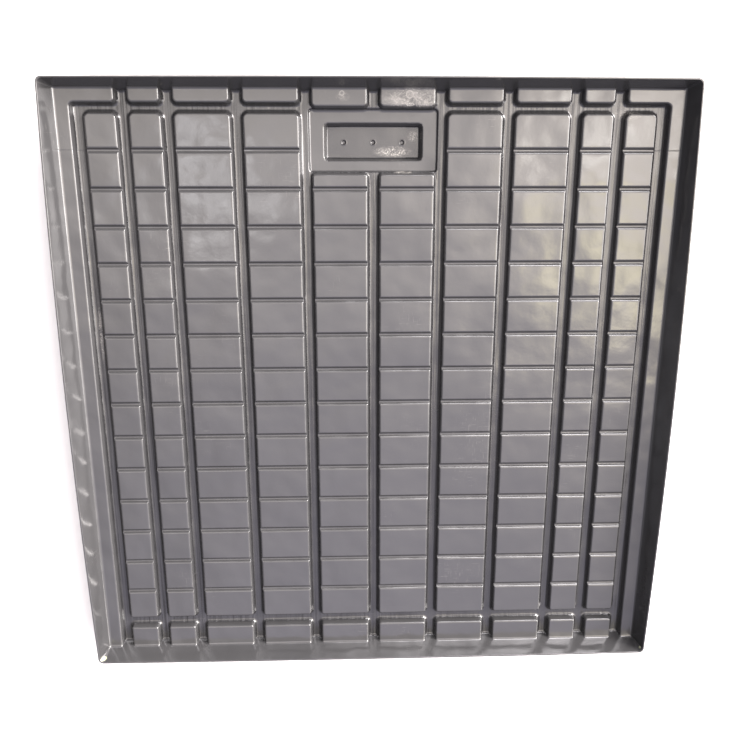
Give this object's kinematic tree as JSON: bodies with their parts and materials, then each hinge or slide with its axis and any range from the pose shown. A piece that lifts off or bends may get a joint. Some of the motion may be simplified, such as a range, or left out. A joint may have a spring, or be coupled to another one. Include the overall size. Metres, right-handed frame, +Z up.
{
  "type": "hydroponic flood tray",
  "caption": "Shallow square tray of formed black plastic with raised pads between water channels that drain to a sump well, and a low leaning wall all round.",
  "frame": {"origin": "on the tray's centre line in both directions, level with the underside of the sump well", "axes": "+Z up out of the tray's mouth, +Y towards the sump end, +X to the right when +Y points away"},
  "size_m": [1.2694, 1.2554, 0.0892],
  "materials": {
    "tray_plastic": "glossy black formed plastic sheet"
  },
  "bodies": {
    "root": {"wall_left": "tray_plastic", "wall_right": "tray_plastic", "wall_sump_end": "tray_plastic", "wall_far_end": "tray_plastic", "ledge_left": "tray_plastic", "ledge_right": "tray_plastic", "sump_end_block_1": "tray_plastic", "sump_end_block_2": "tray_plastic", "sump_end_block_3": "tray_plastic", "sump_end_block_4": "tray_plastic", "sump_end_block_5": "tray_plastic", "sump_end_block_6": "tray_plastic", "sump_end_block_7": "tray_plastic", "sump_end_block_8": "tray_plastic", "sump_end_block_9": "tray_plastic", "sump_end_block_10": "tray_plastic", "far_end_block_1": "tray_plastic", "far_end_block_2": "tray_plastic", "far_end_block_3": "tray_plastic", "far_end_block_4": "tray_plastic", "far_end_block_5": "tray_plastic", "far_end_block_6": "tray_plastic", "far_end_block_7": "tray_plastic", "far_end_block_8": "tray_plastic", "far_end_block_9": "tray_plastic", "far_end_block_10": "tray_plastic", "pad_strip_1": "tray_plastic", "pad_strip_2": "tray_plastic", "pad_strip_3": "tray_plastic", "pad_strip_4": "tray_plastic", "pad_strip_5": "tray_plastic", "pad_strip_6": "tray_plastic", "pad_strip_7": "tray_plastic", "pad_strip_8": "tray_plastic", "pad_strip_9": "tray_plastic", "pad_strip_10": "tray_plastic", "channel_left": "tray_plastic", "channel_right": "tray_plastic", "channel_1": "tray_plastic", "channel_2": "tray_plastic", "channel_3": "tray_plastic", "channel_4": "tray_plastic", "channel_5": "tray_plastic", "channel_6": "tray_plastic", "channel_7": "tray_plastic", "channel_8": "tray_plastic", "channel_9": "tray_plastic", "cross_channel_sump_end": "tray_plastic", "cross_channel_far_end": "tray_plastic", "sump_frame": "tray_plastic", "sump_well": "tray_plastic"}
  },
  "joints": []
}
